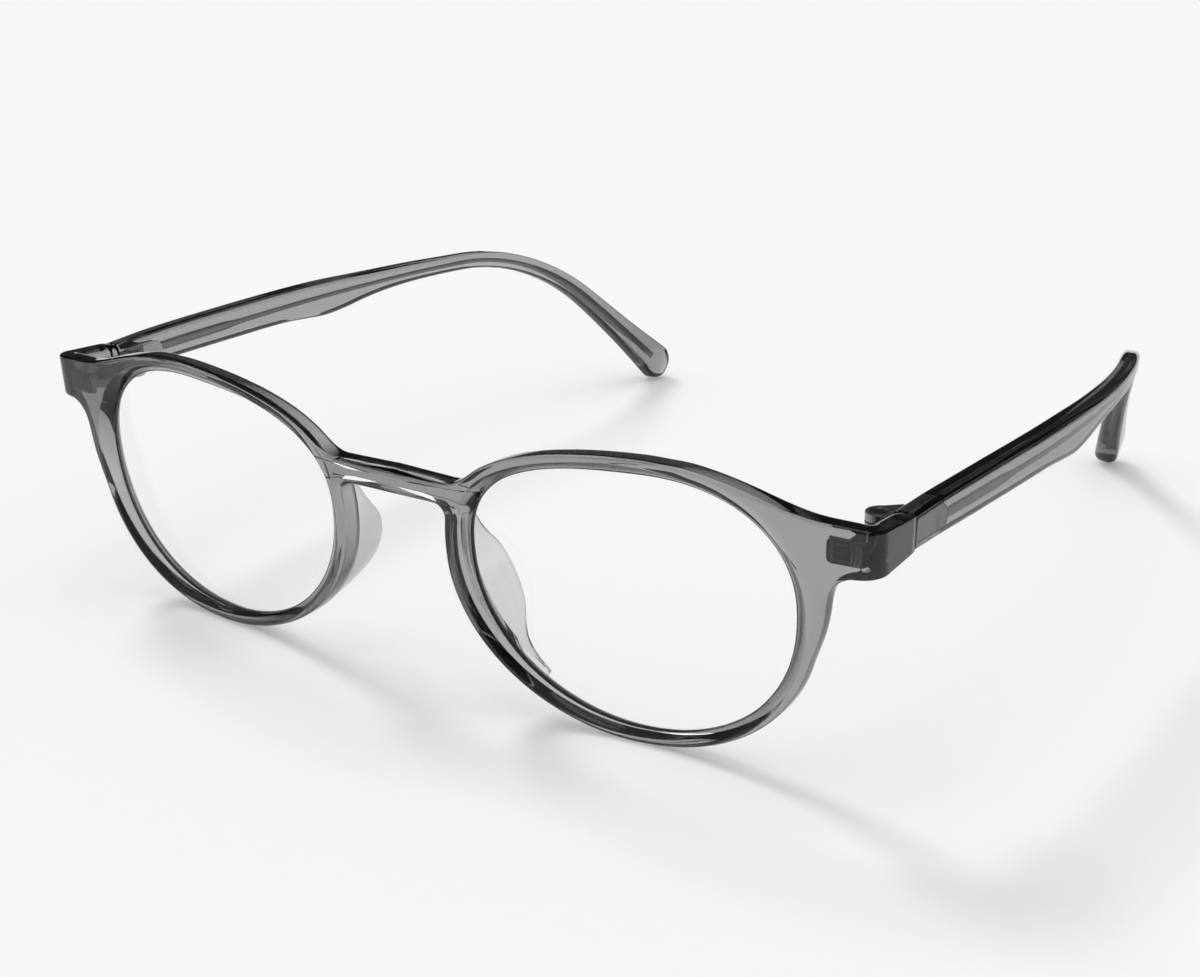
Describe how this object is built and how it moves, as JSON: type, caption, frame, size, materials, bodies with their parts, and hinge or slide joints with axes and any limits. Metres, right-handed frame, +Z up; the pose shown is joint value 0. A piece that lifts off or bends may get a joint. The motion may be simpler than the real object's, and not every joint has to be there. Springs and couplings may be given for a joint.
{
  "type": "panto eyeglasses",
  "caption": "Panto eyeglasses with a clear grey acetate front, straight bridge, bonded nose pads, plain lenses, and temples that fold on three-knuckle barrel hinges.",
  "frame": {"origin": "middle of the object's width and depth, on the surface it stands on", "axes": "+Z up, -Y the way the wearer looks, +X the wearer's left; the temples are open and run towards +Y"},
  "size_m": [0.1426, 0.1498, 0.0404],
  "materials": {
    "front_acetate": "polished, clear grey",
    "temple_acetate": "polished, clear grey",
    "pad_acetate": "polished, paler grey",
    "lens": "clear, polished",
    "hinge_metal": "satin nickel silver",
    "screw_metal": "bright, slotted head",
    "wire_metal": "drawn, inside the plastic"
  },
  "bodies": {
    "front": {"front_frame": "front_acetate", "lens_left": "lens", "lens_right": "lens", "nose_pad_left": "pad_acetate", "nose_pad_right": "pad_acetate", "hinge_front_leaf_left": "hinge_metal", "hinge_front_leaf_right": "hinge_metal"},
    "left_temple": {"temple_left": "temple_acetate", "core_wire_left": "wire_metal", "hinge_temple_leaf_left": "hinge_metal", "hinge_screw_left": "screw_metal"},
    "right_temple": {"temple_right": "temple_acetate", "core_wire_right": "wire_metal", "hinge_temple_leaf_right": "hinge_metal", "hinge_screw_right": "screw_metal"}
  },
  "joints": [
    {"name": "temple_fold_left", "type": "hinge", "parent": "front", "child": "left_temple", "pos_m": [0.0646, -0.05832, 0.0325], "axis": [0, 0, 1], "range_deg": [0, 85]},
    {"name": "temple_fold_right", "type": "hinge", "parent": "front", "child": "right_temple", "pos_m": [-0.0646, -0.05832, 0.0325], "axis": [0, 0, -1], "range_deg": [0, 80]}
  ]
}
